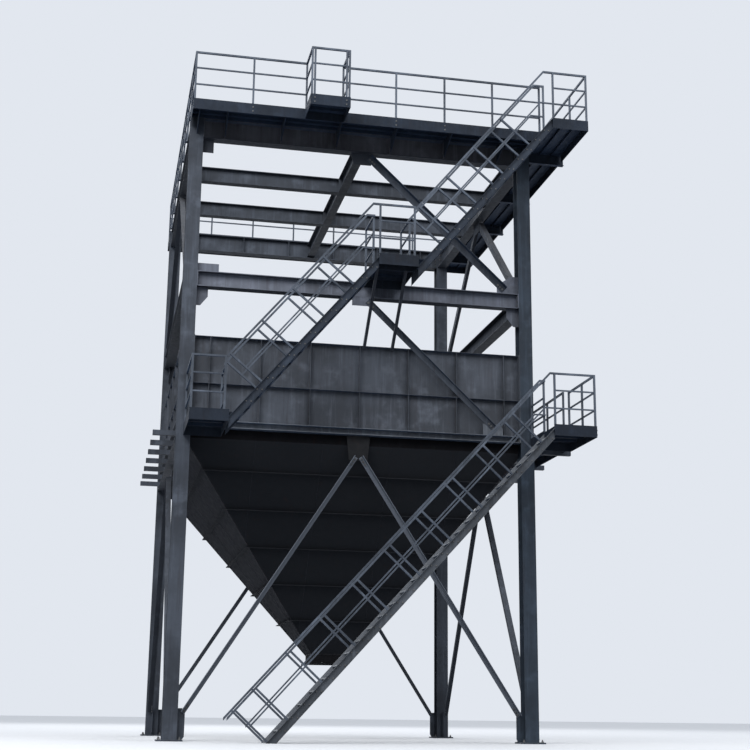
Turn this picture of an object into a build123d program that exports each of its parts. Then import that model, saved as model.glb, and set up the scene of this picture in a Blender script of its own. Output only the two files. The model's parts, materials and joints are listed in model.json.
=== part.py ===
"""Steel frame of a wet electrostatic precipitator, standing half finished on its four columns.

Built on the column grid: x runs right and y runs back from the front left column, z up from the
base plates. Every node is moved at the end so that the middle of the whole footprint is the origin.
"""

import math
import os

from build123d import *

# Driving dimensions in millimetres: columns and girders
BAY = 7500.0
COLUMN = 300.0
COLUMN_FLANGE = 15.0
COLUMN_WEB = 10.0
BASE_PLATE = 520.0
BASE_THICK = 30.0
ANCHOR_SPACING = 400.0
ANCHOR_R = 16.0
DECK_TOP = 13350.0
DECK_THICK = 10.0
GIRDER_DEPTH = 460.0
GIRDER_WIDTH = 250.0
BEAM_FLANGE = 15.0
BEAM_WEB = 10.0
END_PLATE = 12.0
CROSS_DEPTH = 360.0
CROSS_WIDTH = 200.0
CROSS_DROP = 50.0
CROSS_FIRST = 2610.0
RING_TOP = 9795.0
RING_DEPTH = 340.0
GUSSET = 12.0
APEX_TOP = 260.0
APEX_BOTTOM = 200.0
APEX_DEPTH = 260.0
STIFFENER_FIRST = 620.0
STIFFENER_COUNT = 6

# Casing, sills and hopper
CASING_TOP = 8360.0
CASING_PLATE = 10.0
CASING_IN = 30.0
RIB_OUT = 80.0
STIFFENER_Z = 7330.0
RIB_FIRST = 500.0
RIB_COUNT = 7
BASE_STRIP = 100.0
STRIP_THICK = 12.0
STIFFENER_THICK = 12.0
SILL_TOP = 6520.0
SILL_DEPTH = 150.0
SIDE_SILL_DEPTH = 360.0
HOPPER_INSET = 50.0
HOPPER_BOTTOM = 1900.0
HOPPER_WALL = 16.0
RIB_DROP = 600.0
RIB_LIFT = 710.0
HOPPER_RIB_OUT = 90.0
OUTLET_HALF = 400.0
OUTLET_DEPTH = 200.0
OUTLET_FLANGE = 90.0
OUTLET_BOLT_R = 11.0

# Walkways and landings
LEVEL_ONE = 6430.0
LEFT_LEVEL = 6365.0
MID_LEVEL = 9885.0
FRONT_EDGE = -1000.0
STAIR_OUT = -1780.0
STAIR_IN = -1040.0
RIGHT_EDGE = BAY + 1000.0
REAR_EDGE = BAY + 1000.0
LEFT_EDGE = -155.0
DECK_SPLIT = BAY + 180.0
STUB_END = RIGHT_EDGE + 60.0
LEFT_END = -620.0
WALK_EDGE = BAY + 880.0
BALCONY_START = 2270.0
BALCONY_LENGTH = 870.0
LEFT_LANDING_END = 790.0
MID_LANDING_START = BAY / 2 + 50.0
MID_LANDING_LENGTH = 850.0
RIGHT_LANDING_START = BAY + 70.0
EDGE_THICK = 8.0
EDGE_UP = 40.0
EDGE_DOWN = 200.0
STUB_INSET = 80.0
STUB_DEPTH = 260.0
STUB_WIDTH = 100.0
LOW_STUB_TOP = 6280.0
LEFT_STUB_PITCH = 1100.0
BOARD_GAP = 60.0

# Railings and stairs
RAIL_HEIGHT = 1150.0
RAIL = 40.0
THIN_RAIL = 30.0
STRINGER_WIDTH = 50.0
STRINGER_DEPTH = 150.0
TREAD_THICK = 20.0
LOWER_STEPS = 26
UPPER_STEPS = 14
STAIR_POST_PITCH = 955.0
STAIR_RAIL = 870.0
FOOT_X = 1740.0
FOOT_Z = 30.0

os.makedirs("parts", exist_ok=True)

HALF = COLUMN / 2
WEB = BEAM_WEB / 2
UNDER_DECK = DECK_TOP - DECK_THICK
GIRDER_HALF = GIRDER_WIDTH / 2
GIRDER_BOTTOM = UNDER_DECK - GIRDER_DEPTH
RING_BOTTOM = RING_TOP - RING_DEPTH
SILL_BOTTOM = SILL_TOP - SILL_DEPTH
HOPPER_TOP = SILL_TOP - SIDE_SILL_DEPTH
HOPPER_RIB_GAP = (HOPPER_TOP - RIB_DROP - HOPPER_BOTTOM - RIB_LIFT) / 4
HOPPER_RIBS = [HOPPER_TOP - RIB_DROP - HOPPER_RIB_GAP * k for k in range(5)]
MID = BAY / 2
FRONT_PLATE = -GIRDER_HALF + 4


def box(x0, x1, y0, y1, z0, z1):
    return Solid.make_box(x1 - x0, y1 - y0, z1 - z0, Plane((x0, y0, z0)))


def prism(points, way):
    wire = Wire.make_polygon([Vector(*p) for p in points], close=True)
    return Solid.extrude(Face(wire), Vector(*way))


def one(pieces):
    if len(pieces) == 1:
        return pieces[0]
    made = pieces[0].fuse(*pieces[1:])
    if isinstance(made, (list, ShapeList)):
        made = Compound(list(made))
    solids = made.clean().solids()
    if len(solids) != 1:
        raise ValueError(f"{len(solids)} solids where one was meant")
    return solids[0]


def less(solid, cutters):
    made = solid.cut(*cutters)
    if isinstance(made, (list, ShapeList)):
        made = Compound(list(made))
    solids = made.solids()
    if len(solids) != 1:
        raise ValueError(f"{len(solids)} solids after a cut")
    return solids[0]


def common(a, b):
    made = a.intersect(b)
    if isinstance(made, (list, ShapeList)):
        made = Compound(list(made))
    solids = made.solids()
    if len(solids) != 1:
        raise ValueError(f"{len(solids)} solids in common")
    return solids[0]


def section(depth, width, web, flange):
    h, w, t = depth, width / 2, web / 2
    return [
        (-w, 0), (w, 0), (w, flange), (t, flange), (t, h - flange), (w, h - flange),
        (w, h), (-w, h), (-w, h - flange), (-t, h - flange), (-t, flange), (-w, flange),
    ]


def beam_x(x0, x1, y, top, depth, width):
    pts = section(depth, width, BEAM_WEB, BEAM_FLANGE)
    return prism([(x0, y + u, top - depth + v) for u, v in pts], (x1 - x0, 0, 0))


def beam_y(y0, y1, x, top, depth, width):
    pts = section(depth, width, BEAM_WEB, BEAM_FLANGE)
    return prism([(x + u, y0, top - depth + v) for u, v in pts], (0, y1 - y0, 0))


def plate_x(points, face=-GUSSET / 2):
    """Gusset plate standing along x; the points are (x, z) and face is its front."""
    return prism([(a, face, z) for a, z in points], (0, GUSSET, 0))


def plate_y(points):
    """Gusset plate standing along y in the middle of a side beam; the points are (y, z)."""
    return prism([(-GUSSET / 2, a, z) for a, z in points], (GUSSET, 0, 0))


def apex(middle, top, depth):
    """Outline of the plate under the middle of a beam, where two braces meet."""
    return [(middle - APEX_TOP, top + 1), (middle + APEX_TOP, top + 1),
            (middle + APEX_BOTTOM, top - depth), (middle - APEX_BOTTOM, top - depth)]


def swap(solid):
    """Mirror in the vertical plane x = y, which turns a front piece into a left piece."""
    return solid.mirror(Plane(origin=(0, 0, 0), z_dir=(1, -1, 0)))


def flip_x(solid):
    return solid.mirror(Plane(origin=(MID, 0, 0), z_dir=(1, 0, 0)))


def flip_y(solid):
    return solid.mirror(Plane(origin=(0, MID, 0), z_dir=(0, 1, 0)))


def row(first, pitch, count):
    return [first + pitch * k for k in range(count)]


def save(name, solids):
    shift = Location((-(LEFT_END + STUB_END) / 2, -(STAIR_OUT + REAR_EDGE) / 2, 0))
    moved = [s.moved(shift) for s in solids]
    whole = moved[0] if len(moved) == 1 else Compound(moved)
    export_step(whole, f"parts/{name}.step")


# Columns with their base plates and the gussets that take the braces
BASE_GUSSET_OUT = 300.0
BASE_GUSSET_TOP = 640.0


def base_gusset(start):
    out, top = BASE_GUSSET_OUT, BASE_GUSSET_TOP
    return [(start, BASE_THICK), (BASE_PLATE / 2, BASE_THICK), (out, BASE_THICK + 60),
            (out, top - 60), (out - 60, top), (start, top)]


def column():
    pts = section(COLUMN, COLUMN, COLUMN_WEB, COLUMN_FLANGE)
    shaft = prism([(u, v - HALF, BASE_THICK) for u, v in pts], (0, 0, UNDER_DECK - BASE_THICK))
    b = BASE_PLATE / 2
    a = ANCHOR_SPACING / 2
    holes = [
        Solid.make_cylinder(ANCHOR_R, BASE_THICK, Plane((sx * a, sy * a, 0)))
        for sx in (-1, 1)
        for sy in (-1, 1)
    ]
    plate = less(box(-b, b, -b, b, 0, BASE_THICK), holes)
    return one([
        shaft, plate, plate_x(base_gusset(COLUMN_WEB / 2)), plate_y(base_gusset(HALF - 1)),
    ])


front_left = column()
front_right = flip_x(front_left)
save("column_front_left", [front_left])
save("column_front_right", [front_right])
save("column_rear_left", [flip_y(front_left)])
save("column_rear_right", [flip_y(front_right)])


# Girders round the roof, with web stiffeners and end plates
STIFF_GAP = (BAY - 2 * STIFFENER_FIRST) / (STIFFENER_COUNT - 1)
STIFF_X = [STIFFENER_FIRST + STIFF_GAP * i for i in range(STIFFENER_COUNT)]
CORNER_PLATE_OUT = 392.0
CORNER_PLATE_DEPTH = 300.0


def beam_front(top, depth):
    """Beam between the front columns, with an end plate against each."""
    return [
        beam_x(HALF + END_PLATE, BAY - HALF - END_PLATE, 0, top, depth, GIRDER_WIDTH),
        box(HALF, HALF + END_PLATE, -HALF, HALF, top - depth, top),
        box(BAY - HALF - END_PLATE, BAY - HALF, -HALF, HALF, top - depth, top),
    ]


def girder_front():
    y = GIRDER_HALF
    parts = beam_front(UNDER_DECK, GIRDER_DEPTH)
    low = GIRDER_BOTTOM + BEAM_FLANGE - 1
    high = UNDER_DECK - BEAM_FLANGE + 1
    parts += [box(x - 6, x + 6, -y, y, low, high) for x in STIFF_X]
    return parts


corner = [(COLUMN_WEB / 2, GIRDER_BOTTOM + 1), (CORNER_PLATE_OUT, GIRDER_BOTTOM + 1),
          (CORNER_PLATE_OUT, GIRDER_BOTTOM - CORNER_PLATE_DEPTH),
          (COLUMN_WEB / 2, GIRDER_BOTTOM - CORNER_PLATE_DEPTH)]
save("roof_girder_front", [
    one(girder_front() + [plate_x(apex(MID, GIRDER_BOTTOM, APEX_DEPTH)), plate_x(corner)]),
])
save("roof_girder_rear", [flip_y(one(girder_front()))])
roof_left = one([
    beam_y(HALF, BAY - HALF, 0, UNDER_DECK, GIRDER_DEPTH, GIRDER_WIDTH),
    plate_y(apex(MID, GIRDER_BOTTOM, APEX_DEPTH)),
])
save("roof_girder_left", [roof_left])
save("roof_girder_right", [flip_x(roof_left)])


# Beams inside the roof grid, framed between the webs of the girders
CROSS_Y = [CROSS_FIRST, BAY - CROSS_FIRST]
CROSS_TOP = UNDER_DECK - CROSS_DROP
CROSS_BOTTOM = CROSS_TOP - CROSS_DEPTH
CROSS_HALF = CROSS_WIDTH / 2


def cross_beam(y):
    x0, x1, h = WEB, BAY - WEB, CROSS_HALF
    return one([
        beam_x(x0 + END_PLATE, x1 - END_PLATE, y, CROSS_TOP, CROSS_DEPTH, CROSS_WIDTH),
        box(x0, x0 + END_PLATE, y - h, y + h, CROSS_BOTTOM, CROSS_TOP),
        box(x1 - END_PLATE, x1, y - h, y + h, CROSS_BOTTOM, CROSS_TOP),
    ])


def centre_beam(y0, y1):
    x, h = MID, CROSS_HALF
    return one([
        beam_y(y0 + END_PLATE, y1 - END_PLATE, x, CROSS_TOP, CROSS_DEPTH, CROSS_WIDTH),
        box(x - h, x + h, y0, y0 + END_PLATE, CROSS_BOTTOM, CROSS_TOP),
        box(x - h, x + h, y1 - END_PLATE, y1, CROSS_BOTTOM, CROSS_TOP),
    ])


save("roof_cross_beams", [cross_beam(y) for y in CROSS_Y])
save("roof_centre_beams", [
    centre_beam(WEB, CROSS_Y[0] - CROSS_HALF),
    centre_beam(CROSS_Y[0] + CROSS_HALF, CROSS_Y[1] - CROSS_HALF),
    centre_beam(CROSS_Y[1] + CROSS_HALF, BAY - WEB),
])


# Ring of beams between the casing and the roof, with gussets above and below its ends
UPPER_GUSSET_OUT = 615.0
UPPER_GUSSET_RISE = 210.0
PEAK_OUT = 280.0
PEAK_RISE = 435.0
LOWER_GUSSET_OUT = 400.0
LOWER_GUSSET_DROP = 405.0
LOWER_GUSSET_FOOT = 243.0
MID_GUSSET_HALF = 205.0
MID_GUSSET_DROP = 195.0


def upper_gusset(start, peaked):
    out, z = UPPER_GUSSET_OUT, RING_TOP
    foot = [(start, z - 1), (out, z - 1), (out, z + UPPER_GUSSET_RISE)]
    if peaked:
        return foot + [(PEAK_OUT, z + PEAK_RISE), (start, z + PEAK_RISE)]
    return foot + [(start, z + UPPER_GUSSET_RISE)]


def lower_gusset(start):
    out, z, low = LOWER_GUSSET_OUT, RING_BOTTOM, RING_BOTTOM - LOWER_GUSSET_DROP
    return [(start, z + 1), (out, z + 1), (out, z - LOWER_GUSSET_DROP / 2),
            (LOWER_GUSSET_FOOT, low), (start, low)]


def mirrored(points, length):
    return [(length - a, z) for a, z in points]


def ring_front(right_peak):
    w = COLUMN_WEB / 2
    return beam_front(RING_TOP, RING_DEPTH) + [
        plate_x(upper_gusset(w, False)),
        plate_x(mirrored(upper_gusset(w, right_peak), BAY)),
        plate_x(lower_gusset(w)),
        plate_x(mirrored(lower_gusset(w), BAY)),
    ]


mid_gusset = [
    (MID - MID_GUSSET_HALF, RING_BOTTOM + 1), (MID + MID_GUSSET_HALF, RING_BOTTOM + 1),
    (MID + MID_GUSSET_HALF, RING_BOTTOM - MID_GUSSET_DROP),
    (MID - MID_GUSSET_HALF, RING_BOTTOM - MID_GUSSET_DROP),
]
save("ring_beams_front_rear", [
    one(ring_front(True) + [plate_x(mid_gusset, FRONT_PLATE)]),
    flip_y(one(ring_front(False))),
])
ring_left = one([
    beam_y(HALF, BAY - HALF, 0, RING_TOP, RING_DEPTH, GIRDER_WIDTH),
    plate_y(upper_gusset(HALF, True)),
    plate_y(mirrored(upper_gusset(HALF, True), BAY)),
    plate_y(lower_gusset(HALF)),
    plate_y(mirrored(lower_gusset(HALF), BAY)),
])
save("ring_beams_left_right", [ring_left, flip_x(ring_left)])


# Casing walls: plate, outside ribs, a stiffener half way up, a top flange and a strip at the foot
RIB_PITCH = (BAY - 2 * RIB_FIRST) / (RIB_COUNT - 1)
PLATE_OUT = CASING_IN - CASING_PLATE


def wall(x0, x1):
    """Wall along x with its ribs on the side of smaller y."""
    i, o, top = CASING_IN, PLATE_OUT, CASING_TOP
    half = STIFFENER_THICK / 2
    parts = [
        box(x0, x1, o, i, SILL_TOP, top),
        box(x0, x1, -RIB_OUT, i, top - CASING_PLATE, top),
        box(x0, x1, -RIB_OUT, o + 5, STIFFENER_Z - half, STIFFENER_Z + half),
        box(x0, x1, o - STRIP_THICK, o + 1, SILL_TOP, SILL_TOP + BASE_STRIP),
    ]
    for k in range(RIB_COUNT):
        x = RIB_FIRST + RIB_PITCH * k
        parts.append(box(x - 5, x + 5, -RIB_OUT, o + 5, SILL_TOP, top - 5))
    return parts


x0, x1 = HALF, BAY - HALF
front_wall = one(wall(x0, x1) + [
    box(x0, x0 + CASING_PLATE, -HALF, HALF, SILL_TOP, CASING_TOP),
    box(x1 - CASING_PLATE, x1, -HALF, HALF, SILL_TOP, CASING_TOP),
])
left_wall = swap(one(wall(HALF, BAY - HALF)))
save("casing_wall_front", [front_wall])
save("casing_wall_rear", [flip_y(front_wall)])
save("casing_wall_left", [left_wall])
save("casing_wall_right", [flip_x(left_wall)])


# Sills that carry the casing: shallow beams front and rear, deep ones at the sides
BRACE_SEAT = (BAY - 1000, BAY - 640, BAY - 550)
BRACE_SEAT_RISE = (150.0, 240.0)


def sill_front():
    return beam_front(SILL_TOP, SILL_DEPTH) + [
        plate_x(apex(MID, SILL_BOTTOM, SILL_BOTTOM - HOPPER_TOP + APEX_DEPTH + 70)),
    ]


a, b, c = BRACE_SEAT
low, high = BRACE_SEAT_RISE
seat = [(a, SILL_TOP - 1), (c, SILL_TOP - 1), (c, SILL_TOP + low), (b, SILL_TOP + high),
        (a, SILL_TOP + high)]
save("sills_front_rear", [
    one(sill_front() + [plate_x(seat, FRONT_PLATE)]), flip_y(one(sill_front())),
])
left_sill = one([
    beam_y(HALF, BAY - HALF, 0, SILL_TOP, SIDE_SILL_DEPTH, COLUMN),
    plate_y(apex(MID, HOPPER_TOP, APEX_DEPTH + 70)),
])
save("sills_left_right", [left_sill, flip_x(left_sill)])


# Hopper of four sloping plates with ribs round them
RUN = MID - OUTLET_HALF - HOPPER_INSET
SLOPE = RUN / (HOPPER_TOP - HOPPER_BOTTOM)


def hopper_front(skirt):
    """Front plate with its ribs; the skirt is the upright strip that hangs from the sill."""
    a, b = HOPPER_INSET, MID - OUTLET_HALF
    t = HOPPER_WALL
    sheet = prism(
        [(0, a, HOPPER_TOP), (0, a + t, HOPPER_TOP), (0, b + t, HOPPER_BOTTOM),
         (0, b, HOPPER_BOTTOM)],
        (BAY, 0, 0),
    )
    wedge = prism([(0, 0, 0), (BAY, 0, 0), (MID, MID, 0)], (0, 0, HOPPER_TOP))
    parts = [common(sheet, wedge)]
    for z in HOPPER_RIBS:
        c = a + (HOPPER_TOP - z) * SLOPE
        o, i = c - HOPPER_RIB_OUT, c + t / 2
        parts.append(
            prism(
                [(o, o, z - 6), (BAY - o, o, z - 6), (BAY - i, i, z - 6), (i, i, z - 6)],
                (0, 0, 12),
            )
        )
    if skirt:
        parts.append(box(HALF, BAY - HALF, a, a + t, HOPPER_TOP, SILL_BOTTOM))
    posts = [box(-HALF, HALF, -HALF, HALF, 0, HOPPER_TOP),
             box(BAY - HALF, BAY + HALF, -HALF, HALF, 0, HOPPER_TOP)]
    return less(one(parts), posts)


hopper_f = hopper_front(True)
hopper_l = swap(hopper_front(False))
save("hopper_plates_front_rear", [hopper_f, flip_y(hopper_f)])
save("hopper_plates_left_right", [hopper_l, flip_x(hopper_l)])


# Outlet spout with its bolted flange
def outlet():
    o, i = OUTLET_HALF, OUTLET_HALF - HOPPER_WALL
    top, low = HOPPER_BOTTOM, HOPPER_BOTTOM - OUTLET_DEPTH
    f = o + OUTLET_FLANGE
    tube = less(
        box(MID - o, MID + o, MID - o, MID + o, low, top),
        [box(MID - i, MID + i, MID - i, MID + i, low - 1, top + 1)],
    )
    flange = less(
        box(MID - f, MID + f, MID - f, MID + f, low - 16, low),
        [box(MID - i, MID + i, MID - i, MID + i, low - 20, low + 1)],
    )
    holes = []
    p = o + 50
    for k in range(3):
        s = -p + 2 * p / 3 * k
        for x, y in ((s, -p), (p, s), (-s, p), (-p, -s)):
            place = Plane((MID + x, MID + y, low - 17))
            holes.append(Solid.make_cylinder(OUTLET_BOLT_R, 18, place))
    return less(one([tube, flange]), holes)


save("hopper_outlet", [outlet()])


# Braces of angle section. One leg lies on the gusset, the other stands out.
def brace(p, q, wide, out, thick, face):
    """Angle from p to q, given as (along, z); face is where it bears, and it stands in front."""
    dx, dz = q[0] - p[0], q[1] - p[1]
    n = math.hypot(dx, dz)
    ux, uz = dx / n, dz / n
    nx, nz = -uz, ux
    if nz < 0:
        nx, nz = -nx, -nz
    w = wide / 2
    ring = [(-w, 0), (w, 0), (w, out), (w - thick, out), (w - thick, thick), (-w, thick)]
    start = [(p[0] + nx * u, face - v, p[1] + nz * u) for u, v in ring]
    return prism(start, (dx, 0, dz))


BRACE_THICK = 10.0
FACE = -GUSSET / 2
LEG_TOP = HOPPER_TOP - 260.0
LEG_FOOT = (250.0, 550.0)


def bay_c():
    """The two legs of the lower bay, from under the sill to the column feet."""
    x, z = LEG_FOOT
    return [brace((MID - 50, LEG_TOP), (x, z), 90, 120, BRACE_THICK, FACE),
            brace((MID + 50, LEG_TOP), (BAY - x, z), 90, 120, BRACE_THICK, FACE)]


A_TOP = (MID + 150, GIRDER_BOTTOM - 84)
A_LOW = (BAY - 450, RING_TOP + 95)
B_TOP = (MID + 130, RING_BOTTOM - 85)
B_LOW = (BRACE_SEAT[1] - 90, SILL_TOP + 120)


def bay_a(p, q):
    return brace(p, q, 150, 120, BRACE_THICK, FACE)


right_a = bay_a(A_TOP, A_LOW)
left_a = bay_a((BAY - A_TOP[0], A_TOP[1]), (BAY - A_LOW[0], A_LOW[1]))
right_b = brace(B_TOP, B_LOW, 130, 70, BRACE_THICK, FRONT_PLATE)
save("braces_front", bay_c() + [right_a, right_b])
save("braces_rear", [flip_y(s) for s in bay_c()])
legs = [swap(s) for s in bay_c() + [right_a, left_a]]
save("braces_sides", legs + [flip_x(s) for s in legs])


# Walkway plates, with edge channels that rise above them as toe boards
LOW = DECK_TOP - EDGE_DOWN
HIGH = DECK_TOP + EDGE_UP
BALCONY_END = BALCONY_START + BALCONY_LENGTH


def deck_front():
    y0, y1 = FRONT_EDGE, GIRDER_HALF
    x0, x1, e = LEFT_EDGE, DECK_SPLIT, EDGE_THICK
    return one([
        box(x0, x1, y0, y1, UNDER_DECK, DECK_TOP),
        box(x0, x1, y0, y0 + e, LOW, DECK_TOP),
        box(x0, BALCONY_START, y0, y0 + e, DECK_TOP - 1, HIGH),
        box(BALCONY_END, x1, y0, y0 + e, DECK_TOP - 1, HIGH),
        box(x0, x0 + e, y0, -HALF - BOARD_GAP, LOW, HIGH),
    ])


def deck_rear():
    x0, x1, e = LEFT_EDGE, DECK_SPLIT, EDGE_THICK
    return one([
        box(x0, x1, BAY - GIRDER_HALF, REAR_EDGE, UNDER_DECK, DECK_TOP),
        box(x0, x1, REAR_EDGE - e, REAR_EDGE, LOW, HIGH),
        box(x0, x0 + e, BAY + HALF + BOARD_GAP, REAR_EDGE, LOW, HIGH),
    ])


STUB_Y = [STUB_INSET, CROSS_Y[0], CROSS_Y[1], BAY - STUB_INSET]
STUB_START = BAY + COLUMN_WEB / 2


def stub_box(y):
    h = STUB_WIDTH / 2
    return box(STUB_START, STUB_END, y - h, y + h, UNDER_DECK - STUB_DEPTH, UNDER_DECK)


def deck_right():
    x0, x1, e = DECK_SPLIT, RIGHT_EDGE, EDGE_THICK
    g = GIRDER_HALF
    whole = one([
        box(x0, x1, STAIR_OUT, REAR_EDGE, UNDER_DECK, DECK_TOP),
        box(BAY - g, x0 + 1, g, BAY - g, UNDER_DECK, DECK_TOP),
        box(x1 - e, x1, STAIR_OUT, REAR_EDGE, LOW, HIGH),
        box(x0, x1, STAIR_OUT, STAIR_OUT + e, LOW, HIGH),
        box(x0, x1, REAR_EDGE - e, REAR_EDGE, LOW, HIGH),
        box(x0, x0 + e, STAIR_OUT, FRONT_EDGE - 20, LOW, DECK_TOP),
    ])
    return less(whole, [stub_box(y) for y in STUB_Y])


def balcony():
    x0, x1, e = BALCONY_START, BALCONY_END, EDGE_THICK
    return one([
        box(x0, x1, STAIR_OUT, FRONT_EDGE, UNDER_DECK, DECK_TOP),
        box(x0, x1, STAIR_OUT, STAIR_OUT + e, LOW, HIGH),
        box(x0, x0 + e, STAIR_OUT, FRONT_EDGE, LOW, HIGH),
        box(x1 - e, x1, STAIR_OUT, FRONT_EDGE, LOW, HIGH),
    ])


save("deck_front", [deck_front()])
save("deck_rear", [deck_rear()])
save("deck_right", [deck_right()])
save("deck_balcony", [balcony()])


# Cantilever brackets that carry the top walkways
def front_bracket(x, y):
    tip = FRONT_EDGE + EDGE_THICK
    return prism(
        [(x - 6, y, UNDER_DECK), (x - 6, tip, UNDER_DECK), (x - 6, tip, UNDER_DECK - 100),
         (x - 6, y, GIRDER_BOTTOM + 60)],
        (12, 0, 0),
    )


def stub(x0, y):
    pts = section(STUB_DEPTH, STUB_WIDTH, 8, 12)
    return prism([(x0, y + u, UNDER_DECK - STUB_DEPTH + v) for u, v in pts],
                 (STUB_END - x0, 0, 0))


brackets = [front_bracket(x, -GIRDER_HALF) for x in STIFF_X]
brackets += [front_bracket(x, -HALF) for x in (0.0, BAY)]
rear_brackets = [flip_y(s) for s in brackets]
stubs = [stub(BAY + GIRDER_HALF if y in CROSS_Y else STUB_START, y) for y in STUB_Y]
save("deck_brackets", brackets + rear_brackets + stubs)


# Railings, each along one line with posts at the places listed
R = RAIL / 2
THIN = THIN_RAIL / 2


def rail_x(x0, x1, y, z, posts):
    """Railing along x, y its middle line, standing on z."""
    top = z + RAIL_HEIGHT
    parts = [box(x0, x1, y - R, y + R, top - RAIL, top)]
    for k in (1, 2):
        m = z + RAIL_HEIGHT * k / 3
        parts.append(box(x0, x1, y - THIN, y + THIN, m - THIN, m + THIN))
    for p in posts:
        parts.append(box(p - R, p + R, y - R, y + R, z, top - 1))
    return one(parts)


def rail_y(y0, y1, x, z, posts, low_posts=()):
    """Railing along y; low_posts stand on the beam under the walkway plate."""
    top = z + RAIL_HEIGHT
    parts = [box(x - R, x + R, y0, y1, top - RAIL, top)]
    for k in (1, 2):
        m = z + RAIL_HEIGHT * k / 3
        parts.append(box(x - THIN, x + THIN, y0, y1, m - THIN, m + THIN))
    for p in posts:
        parts.append(box(x - R, x + R, p - R, p + R, z, top - 1))
    for p in low_posts:
        parts.append(box(x - R, x + R, p - R, p + R, z - DECK_THICK, top - 1))
    return one(parts)


IN = EDGE_THICK + R
LX = LEFT_EDGE + IN
FY = FRONT_EDGE + IN
SY = STAIR_OUT + IN
RX = RIGHT_EDGE - IN
BY = REAR_EDGE - IN
BX0 = BALCONY_START + IN
BX1 = BALCONY_END - IN
YO = STAIR_OUT + STRINGER_WIDTH / 2
YI = STAIR_IN - STRINGER_WIDTH / 2
POST_PITCH = 1180.0
FRONT_PITCH = 1110.0
REAR_PITCH = 1170.0
WALK_PITCH = 1140.0
LEFT_FIRST = 100.0
FRONT_FIRST = 1130.0
RIGHT_FIRST = -700.0
REAR_FIRST = 1050.0
REAR_LAST = RX - 572.0
WALK_FIRST = 960.0
save("railing_left", [
    rail_y(FY - R, BY + R, LX, DECK_TOP, [FY, LEFT_FIRST, BY],
           row(LEFT_FIRST + POST_PITCH, POST_PITCH, 6)),
])
save("railing_front", [
    rail_x(LX + R, BX0 + R, FY, DECK_TOP, [FRONT_FIRST, BX0]),
    rail_x(BX1 - R, DECK_SPLIT - 20, FY, DECK_TOP,
           [BX1] + row(DECK_SPLIT - 40, -FRONT_PITCH, 4)),
])
save("railing_balcony", [
    rail_x(BX0 + R, BX1 - R, SY, DECK_TOP, [BX0 + 3 * R, BX1 - 3 * R]),
    rail_y(SY - R, FY - R, BX0, DECK_TOP, [SY]),
    rail_y(SY - R, FY - R, BX1, DECK_TOP, [SY]),
])
save("railing_right", [
    rail_x(DECK_SPLIT, RX + R, SY, DECK_TOP, [DECK_SPLIT + R, RX]),
    rail_y(SY + R, BY + R, RX, DECK_TOP, row(RIGHT_FIRST, POST_PITCH, 8) + [BY]),
])
save("railing_rear", [
    rail_x(LX + R, RX - R, BY, DECK_TOP, row(REAR_FIRST, REAR_PITCH, 6) + [REAR_LAST]),
])


# Landings of the stairs
def landing(x0, x1, y0, y1, top, toes):
    """Plate with edge channels; each toe is (x0, x1, y0, y1) of an edge that rises above it."""
    low, e = top - EDGE_DOWN, EDGE_THICK
    parts = [
        box(x0, x1, y0, y1, top - DECK_THICK, top),
        box(x0, x1, y0, y0 + e, low, top),
        box(x0, x1, y1 - e, y1, low, top),
        box(x0, x0 + e, y0, y1, low, top),
        box(x1 - e, x1, y0, y1, low, top),
    ]
    parts += [box(*toe, top - 1, top + EDGE_UP) for toe in toes]
    return parts


E = EDGE_THICK
LL1 = LEFT_LANDING_END
MX0, MX1 = MID_LANDING_START, MID_LANDING_START + MID_LANDING_LENGTH
RL0 = RIGHT_LANDING_START
KNEE_SEAT = -1450.0
KNEE_X = (MX0 + 32, MX1 - 195)
left_landing = landing(0, LL1, STAIR_OUT, -HALF, LEFT_LEVEL, [
    (0, LL1, STAIR_OUT, STAIR_OUT + E), (0, E, STAIR_OUT, -HALF), (LL1 - E, LL1, STAIR_IN, -HALF),
])
mid_landing = landing(MX0, MX1, STAIR_OUT, -GIRDER_HALF, MID_LEVEL, [
    (MX0, MX1, STAIR_OUT, STAIR_OUT + E), (MX0, MX0 + E, STAIR_IN, -GIRDER_HALF),
    (MX1 - E, MX1, STAIR_IN, -GIRDER_HALF),
])
mid_low = MID_LEVEL - EDGE_DOWN
mid_landing += [
    box(MX0, MX1, KNEE_SEAT, KNEE_SEAT + 90, mid_low, mid_low + E),
    box(MX0, MX1, KNEE_SEAT, KNEE_SEAT + E, mid_low, MID_LEVEL - 1),
]
right_landing = landing(RL0, RIGHT_EDGE, STAIR_OUT, -HALF, LEVEL_ONE, [
    (RL0, RIGHT_EDGE, STAIR_OUT, STAIR_OUT + E), (RL0, RL0 + E, STAIR_IN, -HALF),
    (RIGHT_EDGE - E, RIGHT_EDGE, STAIR_OUT, -HALF),
])
save("landings", [one(left_landing), one(right_landing), one(mid_landing)])


# Short channels that stick out at the low level, and the walkway that lies on those at the right
def stub_low(x0, x1, y):
    h = STUB_WIDTH / 2
    return box(x0, x1, y - h, y + h, HOPPER_TOP + BEAM_FLANGE, LOW_STUB_TOP)


low_y = row(STUB_INSET, (BAY - 2 * STUB_INSET) / 4, 5)
low_right = [stub_low(STUB_START, STUB_END, y) for y in low_y]
low_left = [stub_low(LEFT_END, -WEB, y) for y in row(STUB_WIDTH / 2, LEFT_STUB_PITCH, 7)]
save("brackets_lower", low_right + low_left)
walkway = landing(BAY + HALF, WALK_EDGE, -HALF, BAY + HALF, LEVEL_ONE, [
    (WALK_EDGE - E, WALK_EDGE, -HALF, BAY + HALF),
    (BAY + HALF, WALK_EDGE, BAY + HALF - E, BAY + HALF),
])
save("walkway_lower_right", [less(one(walkway), low_right)])


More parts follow.
